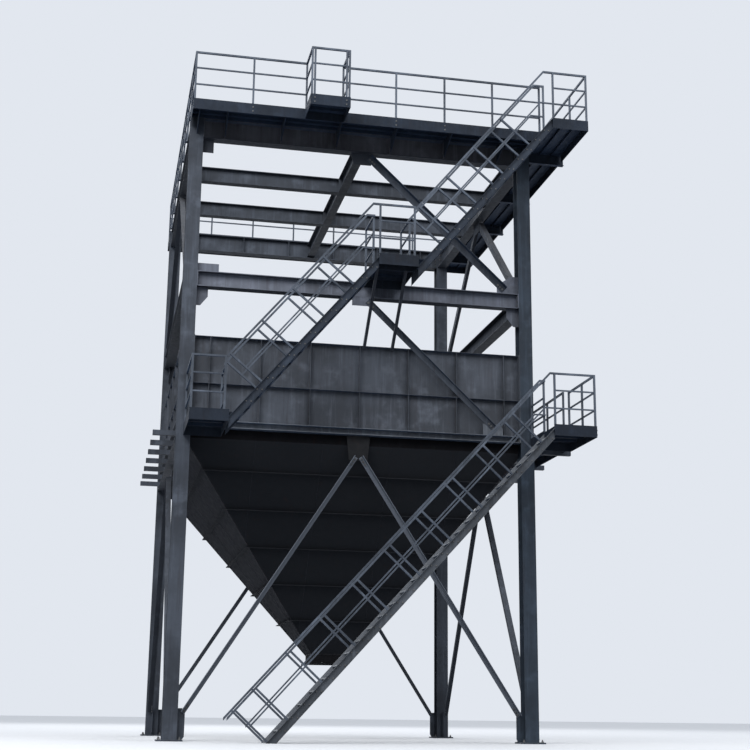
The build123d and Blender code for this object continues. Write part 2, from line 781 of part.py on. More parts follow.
# Knee braces under the middle landing
def knee(x):
    w = 30.0
    y = -RIB_OUT
    return prism(
        [(x - w, y, CASING_TOP - 100), (x - w, y, CASING_TOP),
         (x - w, KNEE_SEAT + 90, mid_low), (x - w, KNEE_SEAT, mid_low)],
        (2 * w, 0, 0),
    )


save("knee_braces", [knee(x) for x in KNEE_X])


# Stairs. Each flight is measured along its slope from where its stringers start.
class Flight:
    def __init__(self, x0, z0, x1, z1, posts, rail_from):
        self.x0, self.z0, self.x1, self.z1 = x0, z0, x1, z1
        self.length = math.hypot(x1 - x0, z1 - z0)
        self.ux, self.uz = (x1 - x0) / self.length, (z1 - z0) / self.length
        self.posts = posts
        self.tread_half = (STRINGER_DEPTH - TREAD_THICK * self.ux - 4) / (2 * self.uz)
        self.rail_start = self.point(rail_from, STAIR_RAIL)[0]

    def point(self, s, off):
        """Point s along the slope and off square to it, from the stringers' top edge."""
        return self.x0 + self.ux * s - self.uz * off, self.z0 + self.uz * s + self.ux * off

    def z(self, x, off):
        return self.z0 + (x - self.x0) * self.uz / self.ux + off / self.ux

    def x_at(self, z, off):
        return self.x0 + (z - off / self.ux - self.z0) * self.ux / self.uz

    def band(self, xa, xb, lo, hi, y0, y1, ground):
        """Strip between two lines along the slope, cut upright at xb and at xa or the ground."""
        pts = [(xa, self.z(xa, lo)), (xb, self.z(xb, lo)), (xb, self.z(xb, hi)),
               (xa, self.z(xa, hi))]
        if ground:
            pts[0] = (self.x_at(0, lo), 0)
            pts[3] = (self.x_at(0, hi), 0)
        return prism([(x, y0, z) for x, z in pts], (0, y1 - y0, 0))

    def stringer(self, y_web, y_tip, ground):
        """Channel with its back at y_web and its flanges out to y_tip."""
        d, t = STRINGER_DEPTH, 8
        web = sorted((y_web, y_web + (6 if y_tip > y_web else -6)))
        tip = sorted((y_web, y_tip))
        return one([
            self.band(self.x0, self.x1, -d, 0, *web, ground),
            self.band(self.x0, self.x1, -t, 0, *tip, ground),
            self.band(self.x0, self.x1, -d, -d + t, *tip, ground),
        ])

    def post(self, s, y, height):
        """Post square to the stringer, standing on its top edge or on the ground."""
        feet = []
        for edge in (s - R, s + R):
            base = max(0.0, -(self.z0 + self.uz * edge) / self.ux)
            feet.append(self.point(edge, base))
        tops = [self.point(s + R, height), self.point(s - R, height)]
        return prism([(x, y - R, z) for x, z in feet + tops], (0, RAIL, 0))

    def sloped_bar(self, start, end, level, line, half, y):
        """Bar along the slope that turns level at its upper end and runs on to end."""
        lo, hi = line - half, line + half
        bend_lo, bend_hi = self.x_at(level - half, lo), self.x_at(level + half, hi)
        pts = [(start, self.z(start, lo)), (bend_lo, level - half), (end, level - half),
               (end, level + half), (bend_hi, level + half), (start, self.z(start, hi))]
        return prism([(x, y - half, z) for x, z in pts], (0, 2 * half, 0))


OUT_WEB, OUT_TIP = STAIR_OUT + STRINGER_WIDTH, STAIR_OUT
IN_WEB, IN_TIP = STAIR_IN - STRINGER_WIDTH, STAIR_IN
LOWER_HEAD = 45.0
MIDDLE_FOOT = 100.0
MIDDLE_HEAD = 36.0
UPPER_FOOT = 170.0
UPPER_HEAD = 34.0
LOWER_SECOND_POST = 560.0
MIDDLE_FIRST_POST = 980.0
UPPER_FIRST_POST = 1018.0
RAIL_OVER = 60.0
lower = Flight(FOOT_X, FOOT_Z, RL0, LEVEL_ONE - LOWER_HEAD,
               [0.0] + row(LOWER_SECOND_POST, STAIR_POST_PITCH, 9), -200.0)
middle = Flight(LL1, LEFT_LEVEL - MIDDLE_FOOT, MX0, MID_LEVEL - MIDDLE_HEAD,
                row(MIDDLE_FIRST_POST, STAIR_POST_PITCH, 4), MIDDLE_FIRST_POST - RAIL_OVER)
upper = Flight(MX1, MID_LEVEL - UPPER_FOOT, DECK_SPLIT, DECK_TOP + UPPER_HEAD,
               row(UPPER_FIRST_POST, STAIR_POST_PITCH, 4), UPPER_FIRST_POST - RAIL_OVER)


def stringers(flight, ground):
    return [flight.stringer(OUT_WEB, OUT_TIP, ground), flight.stringer(IN_WEB, IN_TIP, ground)]


save("stair_lower_stringers", stringers(lower, True))
save("stair_upper_stringers", stringers(middle, False) + stringers(upper, False))


def treads(flight, bottom, top, count, sill):
    """Treads between two floors. A sill carries the lower floor on to its first riser."""
    rise = (top - bottom) / count
    half = flight.tread_half
    drop = half * flight.uz + 2
    made = []
    for k in range(0 if sill else 1, count):
        z = bottom + rise * k
        x = flight.x_at(z, -drop)
        a = flight.x0 if k == 0 else x - half
        made.append(box(a, min(x + half, flight.x1), OUT_WEB, IN_WEB, z - TREAD_THICK, z))
    return made


save("stair_lower_treads", treads(lower, 0.0, LEVEL_ONE, LOWER_STEPS, False))
save("stair_upper_treads",
     treads(middle, LEFT_LEVEL, MID_LEVEL, UPPER_STEPS, True)
     + treads(upper, MID_LEVEL, DECK_TOP, UPPER_STEPS, True))


def stair_rail(flight, y, level, end):
    """Handrail and middle rail with posts square to the slope, level at the upper floor."""
    mid = STAIR_RAIL / 2
    mid_start = flight.point(flight.posts[0], mid)[0] - R
    return [
        flight.sloped_bar(flight.rail_start, end, level + RAIL_HEIGHT - R, STAIR_RAIL - R, R, y),
        flight.sloped_bar(mid_start, end, level + RAIL_HEIGHT / 3, mid, THIN, y),
    ] + [flight.post(s, y, STAIR_RAIL - 1) for s in flight.posts]


def stair_rails(flight, level):
    """Outer rail up to the floor's edge, inner rail on to the railing beyond the edge."""
    x = flight.x1
    inner = stair_rail(flight, YI, level, x + IN + R)
    if flight is upper:
        inner.append(box(x + E, x + IN + R, YI - R, YI + R, level, level + RAIL_HEIGHT - 1))
    return [one(stair_rail(flight, YO, level, x)), one(inner)]


save("stair_lower_railings", stair_rails(lower, LEVEL_ONE))
save("stair_upper_railings", stair_rails(middle, MID_LEVEL) + stair_rails(upper, DECK_TOP))


# Railings on the landings, which meet the stair rails
def rails_landings():
    y = YI + R
    left_end = middle.rail_start - 5
    mid_end = upper.rail_start - 5
    y0, y1 = -HALF, BAY + HALF
    return [
        rail_x(2 * R + E, left_end, SY, LEFT_LEVEL, [left_end - R]),
        rail_y(SY - R, y0, IN, LEFT_LEVEL, [SY, y0 - R]),
        rail_y(y, y0, LL1 - IN, LEFT_LEVEL, [y + R + 5, y0 - R]),
        rail_x(MX0, mid_end, SY, MID_LEVEL, [MX0 + R, mid_end - R]),
        rail_y(y, -HALF, MX0 + IN, MID_LEVEL, [y + R + 5, -HALF - R]),
        rail_y(y, -HALF, MX1 - IN, MID_LEVEL, [y + R + 5, -HALF - R]),
        rail_x(RL0, RX - R, SY, LEVEL_ONE, [RL0 + R]),
        rail_y(SY - R, y0, RX, LEVEL_ONE, [SY, FRONT_EDGE, y0 - R]),
        rail_y(y, y0, RL0 + IN, LEVEL_ONE, [y + R + 5, y0 - R]),
        rail_y(y0, y1, WALK_EDGE - IN, LEVEL_ONE,
               [y0 + R] + row(WALK_FIRST, WALK_PITCH, 6) + [y1 - IN]),
    ]


save("railings_landings", rails_landings())
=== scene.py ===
"""Looks of the half finished wet electrostatic precipitator: paint, bolts, weld beads, light and camera."""

import json
import math

import bmesh
import bpy
from mathutils import Matrix, Vector


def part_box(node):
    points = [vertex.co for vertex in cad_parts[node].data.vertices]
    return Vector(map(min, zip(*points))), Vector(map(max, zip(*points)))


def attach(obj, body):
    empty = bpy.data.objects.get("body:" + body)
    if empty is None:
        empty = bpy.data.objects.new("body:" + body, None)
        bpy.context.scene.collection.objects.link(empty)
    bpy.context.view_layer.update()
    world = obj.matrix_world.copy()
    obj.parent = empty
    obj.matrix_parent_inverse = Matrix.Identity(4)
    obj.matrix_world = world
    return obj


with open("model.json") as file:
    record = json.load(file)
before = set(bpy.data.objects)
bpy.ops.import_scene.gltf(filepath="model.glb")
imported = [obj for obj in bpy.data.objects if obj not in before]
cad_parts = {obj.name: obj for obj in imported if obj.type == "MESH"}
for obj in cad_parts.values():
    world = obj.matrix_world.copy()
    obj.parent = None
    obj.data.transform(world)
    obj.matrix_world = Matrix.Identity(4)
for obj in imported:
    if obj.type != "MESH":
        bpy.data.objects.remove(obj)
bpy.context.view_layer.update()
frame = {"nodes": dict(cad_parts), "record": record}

# Sections, plates and clearances of the steelwork, in metres
BASE_HALF = 0.26
BASE_THICK = 0.03
COLUMN_HALF = 0.15
END_PLATE = 0.012
HALF_WEB = 0.005
FLANGE = 0.015
RING_DEPTH = 0.34
SILL_DEPTH = 0.15
DECK_PLATE = 0.01
EDGE_THICK = 0.008
STRINGER_WIDTH = 0.05
STRINGER_DEPTH = 0.15
STRINGER_WEB = 0.006
TREAD_THICK = 0.02
TREAD_GAP = 0.002
RAIL_INSET = 0.028

# Places on the column grid, which starts in the middle of the front left column. The edges are
# those of the walkways, and the walkway along the right side starts at DECK_SPLIT.
base_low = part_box("column_front_left")[0]
GRID_X = base_low.x + BASE_HALF
GRID_Y = base_low.y + BASE_HALF
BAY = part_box("roof_girder_right")[1].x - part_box("roof_girder_left")[1].x
MID = BAY / 2
LEFT_EDGE = -0.155
FRONT_EDGE = -1.0
OUTER_EDGE = BAY + 1.0
WALK_EDGE = BAY + 0.88
DECK_SPLIT = BAY + 0.18
STAIR_OUT = -1.78
STAIR_IN = -1.04
BALCONY = (2.27, 3.14)

# Heights over the floor
SILL_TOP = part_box("casing_wall_front")[0].z
SILL_BOTTOM = SILL_TOP - SILL_DEPTH
CASING_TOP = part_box("casing_wall_front")[1].z
HOPPER_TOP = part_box("hopper_plates_left_right")[1].z
HOPPER_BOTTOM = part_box("hopper_plates_left_right")[0].z
RING_TOP = 9.795
RING_BOTTOM = RING_TOP - RING_DEPTH
ROOF_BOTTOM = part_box("roof_girder_rear")[0].z
ROOF_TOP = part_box("roof_girder_rear")[1].z
LEFT_LEVEL = 6.365
LEVEL_ONE = 6.43
MID_LEVEL = 9.885
DECK_TOP = 13.35

# Landings: their two ends along the front, and their level
LEFT_LANDING = (0.0, 0.79, LEFT_LEVEL)
RIGHT_LANDING = (BAY + 0.07, OUTER_EDGE, LEVEL_ONE)
MID_LANDING = (MID + 0.05, MID + 0.9, MID_LEVEL)


def at(x, y, z):
    """A point of the column grid, in the frame's own coordinates."""
    return Vector((GRID_X + x, GRID_Y + y, z))


class Side:
    """One side of the frame: along runs beside it, out is how far it lies outside the grid line."""

    def __init__(self, name):
        self.name = name
        self.axis = Vector({"front": (0, -1, 0), "rear": (0, 1, 0),
                            "left": (-1, 0, 0), "right": (1, 0, 0)}[name])

    def at(self, along, out, z):
        places = {"front": (along, -out), "rear": (along, BAY + out),
                  "left": (-out, along), "right": (BAY + out, along)}
        return at(*places[self.name], z)


FRONT, REAR, LEFT, RIGHT = (Side(name) for name in ("front", "rear", "left", "right"))
SIDES = (FRONT, REAR, LEFT, RIGHT)


# Materials
class Graph:
    """The shader nodes of a material or of the world."""

    def __init__(self, owner):
        owner.use_nodes = True
        self.nodes = owner.node_tree.nodes
        self.links = owner.node_tree.links

    def add(self, kind):
        return self.nodes.new("ShaderNode" + kind)

    def feed(self, socket, value):
        """Joins a socket to the output of another node, or sets it to a value."""
        if isinstance(value, bpy.types.NodeSocket):
            self.links.new(value, socket)
        else:
            socket.default_value = value

    def split(self, vector):
        """The three parts of a vector."""
        node = self.add("SeparateXYZ")
        self.feed(node.inputs[0], vector)
        return node.outputs

    def noise(self, place, pattern):
        """Noise with the scale, detail and roughness of a pattern."""
        node = self.add("TexNoise")
        self.feed(node.inputs["Vector"], place)
        for name, value in zip(("Scale", "Detail", "Roughness"), pattern):
            self.feed(node.inputs[name], value)
        return node.outputs["Fac"]

    def spread(self, value, low, high, to_low=0.0, to_high=1.0):
        """Eases a value between low and high into one between to_low and to_high."""
        node = self.add("MapRange")
        node.interpolation_type = "SMOOTHSTEP"
        given = {"Value": value, "From Min": low, "From Max": high, "To Min": to_low, "To Max": to_high}
        for name, part in given.items():
            self.feed(node.inputs[name], part)
        return node.outputs["Result"]

    def mix(self, share, first, second):
        """A colour between two others; a share of 1 gives the second."""
        node = self.add("Mix")
        node.data_type = "RGBA"
        self.feed(node.inputs[0], share)
        self.feed(node.inputs[6], first)
        self.feed(node.inputs[7], second)
        return node.outputs[2]

    def maths(self, way, *values):
        """The result of one arithmetic step."""
        node = self.add("Math")
        node.operation = way
        for socket, value in zip(node.inputs, values):
            self.feed(socket, value)
        return node.outputs[0]


def linear(rgb):
    """Colour written as 0 to 255 on screen, as the linear value that a shader takes."""
    made = []
    for part in rgb:
        part = part / 255
        made.append(part / 12.92 if part <= 0.04045 else ((part + 0.055) / 1.055) ** 2.4)
    return (*made, 1.0)


# Patterns in the paint: scale, detail and roughness of the noise
CLOUDS = (0.55, 5.0, 0.6)
PATCHES = (2.6, 4.0, 0.55)
STREAKS = (1.6, 6.0, 0.65)
STAINS = (3.4, 8.0, 0.72)
GRAIN = (9.0, 6.0, 0.7)
PITS = (60.0, 3.0, 0.6)
FLOOR_CLOUDS = (0.4, 4.0, 0.55)
STREAK_STRETCH = (7.0, 7.0, 0.45)

DUST = linear((128, 124, 118))
RUST = linear((92, 58, 42))
# Painted shade: faces that look down take these shares of the coat's colour, a bluish darkening
UNDERSIDE_SHADE_TINT = (0.7, 0.84, 1.0)
ZONE_EASE = 0.01
BUMP_DEPTH = 0.002

CHEQUER_PITCH = 0.03
BAR_NARROW = 4.5
BAR_SHORT = 1.3


def chequer(graph, place):
    """Height of the raised bars on chequered plate, which lean left and right by turns."""
    x, y, _ = graph.split(place)
    u = graph.maths("DIVIDE", x, CHEQUER_PITCH)
    v = graph.maths("DIVIDE", y, CHEQUER_PITCH)
    cell = graph.maths("ADD", graph.maths("FLOOR", u), graph.maths("FLOOR", v))
    turn = graph.maths("PINGPONG", cell, 1.0)
    lean = graph.maths("SUBTRACT", graph.maths("MULTIPLY", turn, 2.0), 1.0)
    from_middle = graph.maths("SUBTRACT", graph.maths("FRACT", u), 0.5)
    leaning = graph.maths("MULTIPLY", graph.maths("SUBTRACT", graph.maths("FRACT", v), 0.5), lean)
    across = graph.maths("ABSOLUTE", graph.maths("ADD", from_middle, leaning))
    along = graph.maths("ABSOLUTE", graph.maths("SUBTRACT", from_middle, leaning))
    wide = graph.maths("MULTIPLY", across, BAR_NARROW)
    long = graph.maths("MULTIPLY", along, BAR_SHORT)
    return graph.spread(graph.maths("ADD", wide, long), 0.6, 0.9, 1.0, 0.0)


def below(height, colour):
    """A zone under a height, where a colour of its own stands in for light and shade."""
    return 2, height + ZONE_EASE, height - ZONE_EASE, colour


def behind(y, colour):
    """A zone on the rear side of an upright plane, where a colour of its own stands in for light and shade.
    """
    return 1, y - ZONE_EASE, y + ZONE_EASE, colour


def weathered(graph, place, clouds, streaks, colour):
    """The coat's colour, darker in clouds and rain streaks, and paler in patches and washed lines."""
    base = linear(colour)
    pale = linear([part * 1.22 + 4 for part in colour])
    dark = linear([part * 0.74 for part in colour])
    tone = graph.mix(graph.spread(clouds, 0.36, 0.66), dark, base)
    patches = graph.noise(place, PATCHES)
    tone = graph.mix(graph.spread(patches, 0.5, 0.8, 0.0, 0.7), tone, pale)
    tone = graph.mix(graph.spread(streaks, 0.52, 0.72, 0.0, 0.55), tone, dark)
    return graph.mix(graph.spread(streaks, 0.5, 0.3, 0.0, 0.35), tone, pale)


def rust_spots(graph, place, streaks, rusty):
    """Where the rust shows: stains, and runs that follow the rain."""
    stains = graph.spread(graph.noise(place, STAINS), 0.6, 0.72)
    runs = graph.spread(streaks, 0.56, 0.7)
    stained = graph.maths("MULTIPLY", stains, rusty)
    return graph.maths("MAXIMUM", stained, graph.maths("MULTIPLY", runs, rusty * 0.5))


def uneven(graph, place, clouds, tread):
    """Normal of a coat with fine pits and soft waves, and with raised bars on chequered plate."""
    height = graph.maths("MULTIPLY", graph.noise(place, PITS), 0.25)
    height = graph.maths("ADD", height, clouds)
    if tread:
        height = graph.maths("ADD", height, graph.maths("MULTIPLY", chequer(graph, place), 1.4))
    bump = graph.add("Bump")
    bump.inputs["Strength"].default_value = 0.35
    bump.inputs["Distance"].default_value = BUMP_DEPTH
    graph.feed(bump.inputs["Height"], height)
    return bump.outputs[0]


def paint(name, colour, dusty=0.45, rusty=0.08, rough=0.62, gloss=0.2, tread=False, painted_light_zone=None, under=None):
    """Site paint on rolled steel: cloudy tone, rain streaks, painted shade on faces that look down, dust on
    top faces and rust stains.

    A zone gives part of the piece another colour as painted light and painted shade, and under is the
    colour of faces that look down, painted in place of the light and shade they get.
    """
    material = bpy.data.materials.new(name)
    graph = Graph(material)
    place = graph.add("TexCoord").outputs["Object"]
    slope = graph.split(graph.add("NewGeometry").outputs["Normal"])[2]
    clouds = graph.noise(place, CLOUDS)
    grain = graph.noise(place, GRAIN)
    stretch = graph.add("Mapping")
    stretch.inputs["Scale"].default_value = STREAK_STRETCH
    graph.feed(stretch.inputs["Vector"], place)
    streaks = graph.noise(stretch.outputs[0], STREAKS)

    tone = weathered(graph, place, clouds, streaks, colour)
    # Painted shade on faces that look down; where under is lighter than the coat, as on the deck, it is
    # painted light
    shade = under or [part * tint for part, tint in zip(colour, UNDERSIDE_SHADE_TINT)]
    tone = graph.mix(graph.spread(slope, -0.15, -0.6, 0.0, 0.7), tone, linear(shade))
    # Painted light and painted shade on one zone of the piece
    if painted_light_zone:
        axis, start, end, other = painted_light_zone
        tone = graph.mix(graph.spread(graph.split(place)[axis], start, end), tone, linear(other))
    settled = graph.spread(grain, 0.3, 0.7, dusty * 0.4, dusty)
    upward = graph.spread(slope, 0.45, 0.95)
    tone = graph.mix(graph.maths("MULTIPLY", upward, settled), tone, DUST)
    rust = rust_spots(graph, place, streaks, rusty)
    dull = graph.maths("ADD", graph.spread(grain, 0.3, 0.7, rough - 0.08, rough + 0.1), rust)

    shader = graph.nodes["Principled BSDF"]
    graph.feed(shader.inputs["Base Color"], graph.mix(rust, tone, RUST))
    graph.feed(shader.inputs["Roughness"], graph.maths("MINIMUM", dull, 0.95))
    graph.feed(shader.inputs["Specular IOR Level"], gloss)
    graph.feed(shader.inputs["Normal"], uneven(graph, place, clouds, tread))
    return material


SHADOW = (38, 42, 50)
HOPPER_COAT = {"dusty": 0.3, "rusty": 0.12, "rough": 0.78, "gloss": 0.06}
DECK_COAT = {"dusty": 0.5, "rough": 0.65, "tread": True}
INNER_STRINGER = GRID_Y + STAIR_IN - 0.2

PAINTS = {
    "frame_steel": paint("frame_paint", (79, 85, 95), under=SHADOW),
    "casing_plate": paint("casing_paint", (84, 89, 98), dusty=0.4, rough=0.6),
    "hopper_plate": paint("hopper_paint", (33, 33, 36), **HOPPER_COAT),
    # Painted light: faces of the deck that look down get a lighter, bluer colour than the coat
    "deck_steel": paint("deck_paint", (38, 47, 60), under=(50, 65, 88), **DECK_COAT),
    "rail_steel": paint("rail_paint", (92, 100, 112), dusty=0.2, rusty=0.06, rough=0.55),
}
BOLT_PAINT = paint("bolt_steel", (112, 112, 112), dusty=0.3, rusty=0.3, rough=0.42)
NOSING_PAINT = paint("nosing_paint", (176, 180, 184), dusty=0.3, rusty=0.15, rough=0.45)
WELD_PAINT = paint("weld_paint", (82, 84, 90), dusty=0.3, rusty=0.3, rough=0.5)
HOPPER_WELD_PAINT = paint("hopper_weld_paint", (46, 45, 48), dusty=0.3, rusty=0.2, rough=0.6)
# Painted shade: the bars under the decks get a dark bluish colour that stands in for the shade there
RIB_SHADE_PAINT = paint("rib_painted_shade", (44, 56, 74), dusty=0.3, rusty=0.05, rough=0.7)

# Nodes whose paint is made lighter or darker than their slot's to stand in for the light and shade on them:
# painted light and painted shade
NODE_PAINTED_LIGHT = {
    # Painted light on the sill, lighter than the frame, and painted shadow, near black, on what hangs below
    # it
    "sills_front_rear": paint("sill_painted_light_and_shadow", (112, 118, 127), painted_light_zone=below(SILL_BOTTOM, (18, 19, 22))),
    # Painted shadow, near black, on the hopper's top skirt under the sill, and painted light on the front
    # and rear plates below it
    "hopper_plates_front_rear": paint("hopper_front_painted_light_and_shadow", (20, 20, 23),
                                      painted_light_zone=below(HOPPER_TOP, (47, 49, 53)), **HOPPER_COAT),
    # Painted shade: the hopper's left and right plates are darker than the hopper paint
    "hopper_plates_left_right": paint("hopper_side_painted_shade", (27, 27, 31), **HOPPER_COAT),
    # Painted light: the ring beams, whose webs their flanges shade, are painted lighter than the frame
    "ring_beams_front_rear": paint("ring_painted_light", (114, 119, 131), under=SHADOW),
    # Painted light on the front roof girder's web under the deck's overhang, and painted shade on its
    # bottom flange
    "roof_girder_front": paint("girder_painted_light_and_shade", (108, 108, 114),
                               painted_light_zone=below(ROOF_BOTTOM + 0.02, (62, 66, 74))),
    # Painted shade: the front right column is darker than the frame, as the light falls off towards the
    # right
    "column_front_right": paint("column_painted_shade", (60, 70, 82)),
    # Painted shade on the front braces above the sill's bottom, and painted light on them below it
    "braces_front": paint("brace_painted_light_and_shade", (72, 78, 88), painted_light_zone=below(SILL_BOTTOM, (106, 112, 122))),
    # Painted shade: the landings and their undersides are darker than the deck paint
    "landings": paint("landing_painted_shade", (33, 41, 53), under=(18, 27, 40), **DECK_COAT),
    # Painted light: the lower flight's stringers are lighter than the frame, and the inner stringer, which
    # the treads shade, lighter still
    "stair_lower_stringers": paint("lower_stringer_painted_light", (90, 95, 102), rough=0.6,
                                   painted_light_zone=behind(INNER_STRINGER, (122, 126, 132))),
    # Painted shade: the upper flights' stringers are darker than the frame
    "stair_upper_stringers": paint("upper_stringer_painted_shade", (54, 62, 74), rough=0.6),
}

slot_of = {part["node"]: part["material_slot"] for part in frame["record"]["subparts"]}
for node_name, node in frame["nodes"].items():
    node.data.materials.clear()
    node.data.materials.append(NODE_PAINTED_LIGHT.get(node_name, PAINTS[slot_of[node_name]]))


# Small repeated pieces, joined into one mesh each
def piece(name, bm, material):
    """Turns a finished bmesh into a piece of the fixed body."""
    bmesh.ops.recalc_face_normals(bm, faces=bm.faces)
    mesh = bpy.data.meshes.new(name)
    bm.to_mesh(mesh)
    bm.free()
    mesh.materials.append(material)
    made = bpy.data.objects.new(name, mesh)
    bpy.context.scene.collection.objects.link(made)
    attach(made, "root")


def turned(axis):
    """Rotation that takes +Z to the given direction."""
    return Vector((0, 0, 1)).rotation_difference(Vector(axis).normalized()).to_matrix().to_4x4()


def add_disc(bm, point, axis, radius, height, sides, grow=1.0):
    """A low prism standing on point, along axis."""
    place = Matrix.Translation(point) @ turned(axis) @ Matrix.Translation((0, 0, height / 2))
    bmesh.ops.create_cone(bm, cap_ends=True, segments=sides, radius1=radius,
                          radius2=radius * grow, depth=height, matrix=place)


# Bolts by their diameter, with the sizes of their washers, heads and nuts as shares of it
M14, M16, M18, M20, M22, M24, M27 = 0.014, 0.016, 0.018, 0.02, 0.022, 0.024, 0.027
WASHER_THICK = 0.16
ANCHOR_WASHER = 1.05
HEAD_RADIUS = 0.9
HEAD_HEIGHT = 0.62
NUT_HEIGHT = 0.8
THREAD_HEIGHT = 1.1


def add_bolt(bm, point, axis, size):
    """A hexagon head on its washer; size is the bolt's own diameter."""
    axis = Vector(axis).normalized()
    point = Vector(point)
    add_disc(bm, point, axis, size, size * WASHER_THICK, 12)
    add_disc(bm, point + axis * size * WASHER_THICK, axis, size * HEAD_RADIUS, size * HEAD_HEIGHT, 6)


def add_anchor(bm, point, size):
    """A foundation bolt above its plate, with washer, nut and the end of the thread."""
    up = Vector((0, 0, 1))
    point = Vector(point)
    nut, thread = WASHER_THICK, WASHER_THICK + NUT_HEIGHT
    add_disc(bm, point, up, size * ANCHOR_WASHER, size * WASHER_THICK, 12)
    add_disc(bm, point + up * size * nut, up, size * HEAD_RADIUS, size * NUT_HEIGHT, 6)
    add_disc(bm, point + up * size * thread, up, size / 2, size * THREAD_HEIGHT, 10, 0.9)


def add_bead(bm, start, end, radius, sides=6):
    """A weld bead between two points."""
    start, end = Vector(start), Vector(end)
    way = end - start
    place = Matrix.Translation((start + end) / 2) @ turned(way)
    bmesh.ops.create_cone(bm, cap_ends=True, segments=sides, radius1=radius,
                          radius2=radius, depth=way.length, matrix=place)


def add_plate(bm, start, end):
    """A flat plate or bar between two opposite corners."""
    start, end = Vector(start), Vector(end)
    size = [abs(length) for length in end - start]
    place = Matrix.Translation((start + end) / 2) @ Matrix.Diagonal((*size, 1.0))
    bmesh.ops.create_cube(bm, size=1.0, matrix=place)


def row(first, pitch, count):
    """Places at an even pitch."""
    return [first + pitch * k for k in range(count)]


ANCHOR_STEP = 0.2


def anchor_bolts():
    """Four foundation bolts through each base plate."""
    bm = bmesh.new()
    for x, y in ((0.0, 0.0), (BAY, 0.0), (0.0, BAY), (BAY, BAY)):
        for across in (-ANCHOR_STEP, ANCHOR_STEP):
            for along in (-ANCHOR_STEP, ANCHOR_STEP):
                add_anchor(bm, at(x + across, y + along, BASE_THICK), M27)
    piece("anchor_bolts", bm, BOLT_PAINT)


# Beams between the columns: where their two ends are and which way they point, along the bay
BEAM_ENDS = ((COLUMN_HALF, 1), (BAY - COLUMN_HALF, -1))
BOLT_GAUGE = 0.075
ROOF_BOLTS = row(ROOF_BOTTOM + 0.07, 0.08, 5)
RING_BOLTS = row(RING_BOTTOM + 0.07, 0.1, 3)
SILL_BOLTS = row(SILL_BOTTOM + 0.045, 0.06, 2)


def end_plate_bolts():
    """Bolts through the end plates of the beams that run left to right."""
    bm = bmesh.new()
    for y in (0.0, BAY):
        for end, way in BEAM_ENDS:
            for z in ROOF_BOLTS + RING_BOLTS + SILL_BOLTS:
                for gauge in (-BOLT_GAUGE, BOLT_GAUGE):
                    add_bolt(bm, at(end + way * END_PLATE, y + gauge, z), (way, 0, 0), M24)
    piece("end_plate_bolts", bm, BOLT_PAINT)


# Bottom and top of the beams that run front to rear, and the angles at the ends of their webs
SIDE_BEAMS = ((ROOF_BOTTOM, ROOF_TOP), (RING_BOTTOM, RING_TOP), (HOPPER_TOP, SILL_TOP))
CLEAT_LEG = 0.09
CLEAT_THICK = 0.01
CLEAT_CLEAR = 0.03
CLEAT_BOLT_EDGE = 0.05
WEB_BOLT = 0.055
COLUMN_BOLT = 0.06


def web_cleats():
    """Angles beside the webs of the side beams, bolted to the webs and to the columns."""
    cleats, bolts = bmesh.new(), bmesh.new()
    for x in (0.0, BAY):
        for end, way in BEAM_ENDS:
            for bottom, top in SIDE_BEAMS:
                low, high = bottom + FLANGE + CLEAT_CLEAR, top - FLANGE - CLEAT_CLEAR
                pitch = (high - low - 2 * CLEAT_BOLT_EDGE) / 2
                for hand in (-1, 1):
                    web = x + hand * HALF_WEB
                    outer = web + hand * CLEAT_THICK
                    front = end + way * CLEAT_THICK
                    add_plate(cleats, at(web, end, low), at(outer, end + way * CLEAT_LEG, high))
                    add_plate(cleats, at(web, end, low), at(web + hand * CLEAT_LEG, front, high))
                    for z in row(low + CLEAT_BOLT_EDGE, pitch, 3):
                        add_bolt(bolts, at(outer, end + way * WEB_BOLT, z), (hand, 0, 0), M22)
                        add_bolt(bolts, at(web + hand * COLUMN_BOLT, front, z), (0, way, 0), M22)
    piece("web_cleats", cleats, PAINTS["frame_steel"])
    piece("cleat_bolts", bolts, BOLT_PAINT)


# Braces as seen on one side: upper end and lower end, each along and up, and width of the angle
LOW_BRACE = ((MID - 0.05, HOPPER_TOP - 0.26), (0.25, 0.55), 0.09)
HIGH_BRACE = ((MID + 0.15, ROOF_BOTTOM - 0.084), (BAY - 0.45, RING_TOP + 0.095), 0.15)
CASING_BRACE = ((MID + 0.13, RING_BOTTOM - 0.085), (BAY - 0.73, SILL_TOP + 0.12), 0.13)
GUSSET_FACE = 0.006
CASING_GUSSET_FACE = 0.121
BRACE_THICK = 0.01
BRACE_BOLTS = (0.045, 0.115, 0.185)
BRACE_BOLT_DROP = 0.1


def mirrored(brace):
    """The same brace at the other end of the bay."""
    upper, lower, wide = brace
    return (BAY - upper[0], upper[1]), (BAY - lower[0], lower[1]), wide


def brace_bolts():
    """Bolts where each brace lies on its gussets, three at either end."""
    bm = bmesh.new()
    braces = [(side, brace, GUSSET_FACE) for side in SIDES for brace in (LOW_BRACE, mirrored(LOW_BRACE))]
    braces += [(FRONT, HIGH_BRACE, GUSSET_FACE), (FRONT, CASING_BRACE, CASING_GUSSET_FACE)]
    for side in (LEFT, RIGHT):
        braces += [(side, brace, GUSSET_FACE) for brace in (HIGH_BRACE, mirrored(HIGH_BRACE))]
    for side, (upper, lower, wide), face in braces:
        upper, lower = Vector(upper), Vector(lower)
        way = (lower - upper).normalized()
        across = Vector((-way.y, way.x))
        if across.y > 0:
            across.negate()
        for end, inward in ((upper, way), (lower, -way)):
            for reach in BRACE_BOLTS:
                spot = end + inward * reach + across * wide * BRACE_BOLT_DROP
                add_bolt(bm, side.at(spot.x, face + BRACE_THICK, spot.y), side.axis, M24)
    piece("brace_bolts", bm, BOLT_PAINT)


